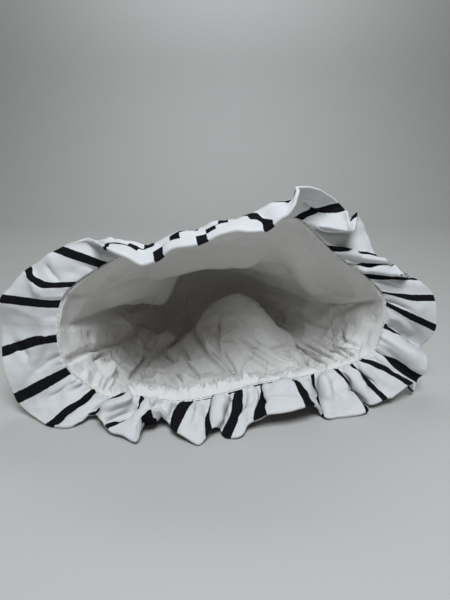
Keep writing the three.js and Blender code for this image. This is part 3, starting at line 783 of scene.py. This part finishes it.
def lining_puff(points, at, depth):
    """How far the loose lining stands off into the hollow, in millimetres."""
    creases = crease_push(pixels_of(points), LINING_CREASES)
    facets = sum(height * crumple(points, size, seed) for size, height, seed in LINING_FACETS)
    roof = smooth((points[..., 2] - ROOF_START) / ROOF_RUN)
    flat = np.maximum(roof, smooth((FLAT_LEFT - points[..., 0]) / FLAT_RUN))
    hollow = smooth(depth / HOLLOW_PUFF_RUN)
    facet_share = mix(1.0, FLAT_FACET_SHARE, flat) * mix(SEAM_FACET_SHARE, 1.0, hollow)
    loose = mix(*SEAM_PUFF, roof) * smooth(depth / SEAM_PUFF_RUN)
    loose += mix(*HOLLOW_PUFF, roof) * hollow
    loose += mix(FLOOR_CREASES, mix(*ROOF_CREASES, hollow), roof) * creases
    loose += (facets - FACET_LEVEL) * facet_share
    loose += nape_gathers(at, depth) + roof * roof_puckers(at, depth)
    sewn = smooth((depth - SEWN_WIDTH) / SEWN_RUN)
    return np.maximum(loose, 0.0) * sewn * mix(1.0, TIP_PUFF, smooth((depth - TIP_DEPTH) / TIP_RUN))


def make_lining(material):
    columns = np.arange(CROWN_COLUMNS) / CROWN_COLUMNS
    rings = np.arange(CROWN_RINGS) / (CROWN_RINGS - 1)
    points, at, depth = crown_surface(np.interp(columns, *LINING_COLUMNS),
                                      np.interp(rings, *LINING_RINGS))
    puff = lining_puff(points, at, depth)
    turned_in = 1.0 - smooth(depth / SEAM_DITCH_WIDTH)
    moved = shifted(points, mix(LINING_OFFSET - puff, SEAM_DITCH_DEPTH, turned_in), LINING_LOWEST)
    tip = moved[:, -1].mean(axis=0) + np.array([0.0, 0.4, 0.0])
    cloth = np.stack([at, depth], axis=-1)
    cloth = np.concatenate([cloth, cloth[:1] + (SEAM_LENGTH, 0.0)])
    piece = grid_object("lining_cloth", moved, cloth, True, material, tip)
    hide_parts("lining")
    return piece


BAND_START, BAND_END, BAND_END_RUN = 363.0, 461.0, 8.0
BAND_DEPTH = 10.0
BAND_COLUMNS, BAND_RINGS = 330, 26
BAND_LIFT = 0.3
BAND_GATHER = 1.6
# Puckers of the band: sizes of the folds, the small ones, the waver and the inner edge's points, and
# heights of a flat rest, the folds and the small ones.
PUCKER_SIZES = (3.6, 1.9, 8.0, 6.0)
PUCKER_HEIGHTS = (0.2, 3.4, 1.2)
PUCKER_WAVER = 1.6
PUCKER_SHARPNESS = 3
# Parts of the band's depth over which they rise from the seam and fall to the inner edge, and how far
# that edge comes and goes.
PUCKER_RISE = 0.3
PUCKER_FALL = 0.45
PUCKER_EDGE = 0.25


def band_puckers(at, across):
    fold_size, small_size, waver_size, edge_size = PUCKER_SIZES
    rest, fold_height, small_height = PUCKER_HEIGHTS
    wave = at + PUCKER_WAVER * value_noise(at / waver_size, across * 2.0, seed=33.0)
    folds = 1.0 - np.abs(value_noise(wave / fold_size, across * 1.3, seed=31.0))
    small = value_noise(wave / small_size, across * 2.4, seed=32.0)
    edge = 1.0 + PUCKER_EDGE * value_noise(wave / edge_size, 0.5, seed=34.0)
    ends = smooth((at - BAND_START) / BAND_END_RUN) * smooth((BAND_END - at) / BAND_END_RUN)
    height = rest + fold_height * folds**PUCKER_SHARPNESS + small_height * small
    height = height * smooth(across / PUCKER_RISE) * smooth((edge - across) / PUCKER_FALL) * ends
    return np.maximum(height, 0.0)


def make_band(material):
    """Gathered channel along the nape seam, puckered by the elastic in it."""
    distance = np.linspace(BAND_START, BAND_END, BAND_COLUMNS)
    position = np.linspace(0.0, BAND_DEPTH / FIRST_ROW_DEPTH, BAND_RINGS)
    at, ring = np.meshgrid(distance, position, indexing="ij")
    points = crown_points(at, ring)
    depth = ring * FIRST_ROW_DEPTH
    lift = LINING_OFFSET - BAND_LIFT - lining_puff(points, at, depth)
    lift = lift - band_puckers(at, depth / BAND_DEPTH)
    turned_in = 1.0 - smooth(depth / SEAM_DITCH_WIDTH)
    push = mix(lift, SEAM_DITCH_DEPTH, turned_in)
    moved = points + grid_normals(points, False) * push[..., None]
    moved[..., 2] = np.maximum(moved[..., 2], BAND_LOWEST)
    cloth = np.stack([at * BAND_GATHER, depth], axis=-1)
    piece = grid_object("nape_band_cloth", moved, cloth, False, material)
    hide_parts("nape_band")
    return piece


STITCH_LENGTH = 1.7
STITCH_PITCH = 3.1
STITCH_RADIUS = 0.2
STITCH_SINK = 0.3
# The row's place in the ditch along the seam, as a part of its width.
STITCH_PLACE = 0.55
STITCH_SIDES = 6
STITCH_RINGS = 6
# Half length of the ellipse that a stitch tapers along, in rings, and the least part kept.
STITCH_TAPER = 2.6
STITCH_END = 0.05


def make_stitches(material):
    """Row of stitches on the lining just inside the seam, all round the opening."""
    count = int(SEAM_LENGTH / STITCH_PITCH)
    depth = np.full(STITCH_RINGS, SEAM_DITCH_WIDTH * STITCH_PLACE / FIRST_ROW_DEPTH)
    from_middle = np.arange(STITCH_RINGS) - (STITCH_RINGS - 1) / 2
    radii = STITCH_RADIUS * np.sqrt(np.maximum(STITCH_END, 1.0 - (from_middle / STITCH_TAPER) ** 2))
    turns = 2 * math.pi * np.arange(STITCH_SIDES) / STITCH_SIDES
    vertices = []
    faces = []
    for number in range(count):
        start = number * SEAM_LENGTH / count
        along = np.linspace(start, start + STITCH_LENGTH, STITCH_RINGS)
        core = crown_points(along, depth)
        into = crown_points(along, depth + 0.1) - core
        into /= np.linalg.norm(into, axis=1, keepdims=True)
        run = np.gradient(core, axis=0)
        run /= np.linalg.norm(run, axis=1, keepdims=True)
        out = np.cross(run, into)
        core = core - out * STITCH_SINK
        first = len(vertices)
        for k, radius in enumerate(radii):
            for turn in turns:
                vertices.append(core[k] + radius * (math.cos(turn) * into[k] + math.sin(turn) * out[k]))
        for k in range(STITCH_RINGS - 1):
            ring = first + STITCH_SIDES * k
            for side in range(STITCH_SIDES):
                after = (side + 1) % STITCH_SIDES
                faces.append((ring + side, ring + after,
                              ring + STITCH_SIDES + after, ring + STITCH_SIDES + side))
        faces.append(tuple(first + side for side in reversed(range(STITCH_SIDES))))
        faces.append(tuple(ring + STITCH_SIDES + side for side in range(STITCH_SIDES)))
    piece = mesh_object("seam_stitches", row_frame(np.array(vertices)), faces, material)
    return piece


BRIM_STEPS = 14
BRIM_WIDTH = 38.0
# Seam distances of the nape and of the turned-over top, with their fades.
BRIM_NAPE = (270.0, 30.0, 478.0, 20.0)
BRIM_TOP = (56.0, 14.0, 150.0, 10.0)
# Its folds and small gathers: size along the seam, turns over the width, fade, share and seed, and
# their height elsewhere and at the nape.
BRIM_GATHERS = ((4.4, 1.6, 2.6, 1.0, 5.0), (2.4, 2.0, 5.0, 0.6, 6.0))
BRIM_GATHER_HEIGHT = (0.7, 2.1)
# Its large and small facets: size, height elsewhere and at the nape and seed, and their level.
BRIM_FACETS = ((18.0, 3.0, 3.0, 21.0), (7.5, 0.6, 1.4, 22.0))
BRIM_FACET_LEVEL = 2.0
BRIM_CREASE_GAIN = 1.25
# Parts of the width over which facets and all relief rise from the seam.
FACET_RISE = 0.3
RELIEF_RISE = 0.04
# Places over the brim's width of the small pleats along its turned-over top.
EDGE_PLEATS = (0.30, 0.58, 0.80)
PLEAT_AHEAD = 0.035
PLEAT_WIDTH = 0.1
PLEAT_DEPTH = 1.7
# The outer face's stripes step sideways at the pleats over this width, and lean this much.
JOG_WIDTH = 0.07
JOG_LEAN = 0.25
# Where a stripe goes from its root's width to its edge's.
WIDEN_START, WIDEN_RUN = 0.15, 0.4
# Roundness and swelling of the turned outer edge, in millimetres from it.
RIM_RADIUS = 0.9
RIM_SWELL = 0.35
RIM_SWELL_REACH = 2.2
BRIM_PLACES = np.concatenate([[0.0, 0.012, 0.026, 0.045], np.linspace(0.07, 0.93, 28),
                              [0.95, 0.967, 0.98, 0.99, 0.996, 1.0]])

# Creases of the brim's inner face, drawn over the photo as the lining's are.
BRIM_CREASES = [
    (2.0, 5, 9, (30, 270, 35, 284, 40, 297)), (-1.4, 6, (44, 262, 50, 272, 62, 284)),
    (-1.6, 8, 5, (12, 340, 22, 350, 30, 362)), (1.8, 6, 10, (50, 330, 40, 352, 26, 380)),
    (-1.5, 5, (64, 352, 48, 362, 36, 372)), (-1.4, 4, (72, 378, 62, 390, 48, 398)),
    (1.5, 4, 7, (86, 392, 74, 408, 60, 420)), (-2.2, 3, 5, (105, 396, 98, 406, 93, 413)),
    (4.5, 8, 4, (103, 412, 114, 406, 127, 402, 138, 400)),
    (-3.0, 3, 5, (102, 422, 114, 417, 127, 411, 139, 402)),
    (-2.0, 4, (141, 397, 137, 407, 127, 416, 113, 425)), (4.5, 6, 8, (166, 394, 154, 403, 142, 411)),
    (1.8, 6, 5, (142, 411, 157, 411, 166, 418)), (-2.6, 5, 7, (142, 419, 152, 419, 162, 421)),
    (-2.4, 5, 4, (168, 396, 173, 407, 170, 419)), (1.8, 5, (186, 402, 178, 414, 174, 426)),
    (-1.6, 4, (196, 399, 195, 414, 190, 428)), (4.0, 8, 6, (221, 397, 216, 411, 214, 428)),
    (-3.4, 4, (230, 394, 229, 406, 224, 420)), (2.4, 5, 4, (237, 392, 238, 404, 230, 420)),
    (-3.0, 3, (249, 392, 248, 405, 238, 416)), (2.0, 4, 3, (254, 389, 256, 400, 252, 412)),
    (-1.6, 4, 8, (262, 386, 261, 398, 268, 404)), (1.4, 5, (266, 398, 284, 400, 304, 402)),
    (-2.2, 3, (305, 377, 314, 388, 320, 400)), (2.6, 5, 6, (322, 376, 327, 388, 330, 402)),
    (-2.6, 4, 5, (331, 380, 336, 390, 346, 396)), (2.2, 4, 6, (328, 374, 340, 382, 348, 392)),
    (-1.8, 4, (341, 371, 348, 380, 352, 394)), (1.6, 4, (349, 368, 358, 378, 366, 390)),
    (-1.8, 3, 4, (356, 365, 364, 376, 376, 384)), (-1.5, 4, (370, 357, 384, 364, 398, 376)),
    (-1.6, 4, 3, (385, 325, 394, 328, 404, 336)), (1.5, 4, 6, (384, 316, 398, 318, 416, 334)),
    (-1.8, 3, 5, (381, 300, 395, 303, 412, 310)), (-1.6, 4, (371, 281, 388, 284, 404, 290)),
    (2.4, 3, 7, (326, 246, 344, 250, 362, 257)), (-2.4, 4, 3, (330, 252, 346, 266, 370, 268, 386, 266)),
    (2.0, 3, 6, (358, 270, 374, 268, 392, 270)), (-2.0, 4, (306, 224, 322, 232, 350, 234)),
    (1.8, 5, (344, 212, 350, 222, 352, 232)), (-1.5, 4, (300, 200, 310, 206, 322, 214)),
]


def brim_surface():
    """Seam distances of the brim's columns and points of its middle surface."""
    position = np.arange(len(BRIM_FOLDS) * BRIM_STEPS) / BRIM_STEPS
    distance, root, middle, edge = brim_rows(position)
    v = BRIM_PLACES[None, :, None]
    points = ((1 - v) ** 2 * root[:, None] + 2 * v * (1 - v) * middle[:, None]
              + v**2 * edge[:, None])
    return distance, points


def brim_relief(points, distance):
    """Gathers from the seam, drawn creases and rumpled facets."""
    v = BRIM_PLACES[None, :]
    at = np.repeat(distance[:, None], len(BRIM_PLACES), axis=1)
    nape = between(at, *BRIM_NAPE)
    folds, small = (share * np.exp(-v * fade) * value_noise(at / size, v * turns, seed)
                    for size, turns, fade, share, seed in BRIM_GATHERS)
    folds = np.exp(-v * BRIM_GATHERS[0][2]) - 2.0 * np.abs(folds)
    gathers = (folds + small) * mix(*BRIM_GATHER_HEIGHT, nape)
    facets = sum(mix(height, nape_height, nape) * crumple(points, size, seed)
                 for size, height, nape_height, seed in BRIM_FACETS) - BRIM_FACET_LEVEL
    drawn = BRIM_CREASE_GAIN * crease_push(pixels_of(points), BRIM_CREASES)
    waver = v + 0.05 * value_noise(at / 21.0, v, seed=24.0)
    pleats = np.max([1.0 - np.abs(waver - pleat - PLEAT_AHEAD) / PLEAT_WIDTH for pleat in EDGE_PLEATS],
                    axis=0)
    along = 1.0 - 2.0 * np.abs(value_noise(at / 30.0, v * 7.0, seed=25.0))
    lengthwise = between(at, *BRIM_TOP) * (along - PLEAT_DEPTH * np.maximum(pleats, 0.0))
    relief = gathers + facets * smooth(v / FACET_RISE) + drawn + lengthwise
    return relief * smooth(v / RELIEF_RISE)


def make_brim(material):
    """Two layers of cloth turned at the outer edge, each with its own run of stripes."""
    distance, points = brim_surface()
    points = points + grid_normals(points, True) * brim_relief(points, distance)[..., None]
    normals = grid_normals(points, True)
    to_edge = (1.0 - BRIM_PLACES) * BRIM_WIDTH
    from_seam = BRIM_PLACES * BRIM_WIDTH
    rim = np.sqrt(np.clip(1.0 - (1.0 - np.clip(to_edge / RIM_RADIUS, 0, 1)) ** 2, 0.0, 1.0))
    swell = 1.0 + RIM_SWELL * np.exp(-(to_edge / RIM_SWELL_REACH) ** 2)
    half = BRIM_THICKNESS / 2 * rim * swell
    turned_in = 1.0 - smooth(from_seam / SEAM_DITCH_WIDTH)
    inner = points + normals * (half - (half + SEAM_DITCH_DEPTH) * turned_in)[None, :, None]
    outer = points - normals * half[None, :, None]
    inner[..., 2] = np.maximum(inner[..., 2], BRIM_LOWEST + 2 * half[None, :])
    outer[..., 2] = np.maximum(outer[..., 2], BRIM_LOWEST)
    loop = np.concatenate([inner, outer[:, -2::-1]], axis=1)
    across = np.broadcast_to(from_seam, (len(distance) + 1, len(from_seam)))
    widen = smooth((BRIM_PLACES - WIDEN_START) / WIDEN_RUN)
    jogs = np.mean([smooth((BRIM_PLACES - pleat) / JOG_WIDTH) for pleat in EDGE_PLEATS[1:]], axis=0)
    jogs = mix(jogs, smooth(BRIM_PLACES), JOG_LEAN)
    inner_x = stripe_coordinate(inner, distance, INNER_STRIPES, smooth(BRIM_PLACES), widen)
    outer_x = stripe_coordinate(outer, distance, OUTER_STRIPES, jogs, widen)
    inner_cloth = np.stack([inner_x, across], axis=-1)
    outer_cloth = np.stack([outer_x, -across], axis=-1)[:, ::-1]
    cloth = np.concatenate([inner_cloth, outer_cloth[:, 1:]], axis=1)
    piece = grid_object("brim_cloth", loop, cloth, True, material)
    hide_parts("brim_upper", "brim_lower")
    return piece


def add_camera():
    camera = bpy.data.cameras.new("photo_camera")
    camera.sensor_fit = "VERTICAL"
    camera.sensor_height = 36.0
    camera.lens = FOCAL_PIXELS / IMAGE_HEIGHT * camera.sensor_height
    holder = bpy.data.objects.new("photo_camera", camera)
    holder.location = (CAMERA_PLACE - LAYOUT_CENTRE) * MM
    holder.rotation_euler = (math.pi / 2 - CAMERA_PITCH, 0.0, 0.0)
    bpy.context.scene.collection.objects.link(holder)
    bpy.context.scene.camera = holder


def add_floor():
    """Pale floor that sweeps up into a backdrop."""
    reach, radius, height, half, steps = 0.9, 0.5, 1.6, 3.0, 12
    profile = [(-half, 0.0)]
    for step in range(steps + 1):
        turn = math.pi / 2 * step / steps
        profile.append((reach + radius * math.sin(turn), radius - radius * math.cos(turn)))
    profile.append((reach + radius, height))
    vertices = [(x, y, z) for y, z in profile for x in (-half, half)]
    faces = [(2 * i, 2 * i + 1, 2 * i + 3, 2 * i + 2) for i in range(len(profile) - 1)]
    material = bpy.data.materials.new("floor")
    material.use_nodes = True
    shader = material.node_tree.nodes["Principled BSDF"]
    shader.inputs["Base Color"].default_value = (0.50, 0.49, 0.47, 1.0)
    shader.inputs["Roughness"].default_value = 0.7
    floor = mesh_object("floor", vertices, faces, material)


def add_light(name, place, aim, size, power):
    light = bpy.data.lights.new(name, "AREA")
    light.energy = power
    light.color = (0.88, 0.94, 1.0)
    light.size = size
    holder = bpy.data.objects.new(name, light)
    holder.location = place
    direction = np.array(aim) - np.array(place)
    yaw = math.atan2(direction[0], -direction[1])
    pitch = math.atan2(math.hypot(direction[0], direction[1]), -direction[2])
    holder.rotation_euler = (pitch, 0.0, math.pi + yaw)
    bpy.context.scene.collection.objects.link(holder)


def add_lights():
    """Soft light from over the camera, another on the backdrop, and a dim warm surrounding."""
    add_light("overhead", place=(0.05, -0.50, 0.80), aim=(0.0, 0.0, 0.05), size=0.42, power=8.2)
    add_light("backdrop", place=(0.0, 0.75, 1.25), aim=(0.0, 1.35, 0.35), size=0.8, power=9.0)
    world = bpy.data.worlds.new("studio")
    world.use_nodes = True
    colour, strength = world.node_tree.nodes["Background"].inputs[:2]
    colour.default_value = (0.98, 0.84, 0.68, 1.0)
    strength.default_value = 0.06
    bpy.context.scene.world = world
    bpy.context.scene.view_settings.view_transform = "Standard"


add_camera()
add_floor()
add_lights()
STRIPED = cloth_material("striped_cotton", (0.67, 0.675, 0.68), striped=True)
PLAIN = cloth_material("lining_cotton", (0.75, 0.735, 0.71), creased=True)
THREAD = cloth_material("thread", (0.34, 0.33, 0.32))
crown_piece = make_crown(STRIPED)
lining_piece = make_lining(PLAIN)
band_piece = make_band(PLAIN)
stitch_piece = make_stitches(THREAD)
brim_piece = make_brim(STRIPED)
for piece in (crown_piece, lining_piece, band_piece, stitch_piece, brim_piece):
    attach(piece, "root")
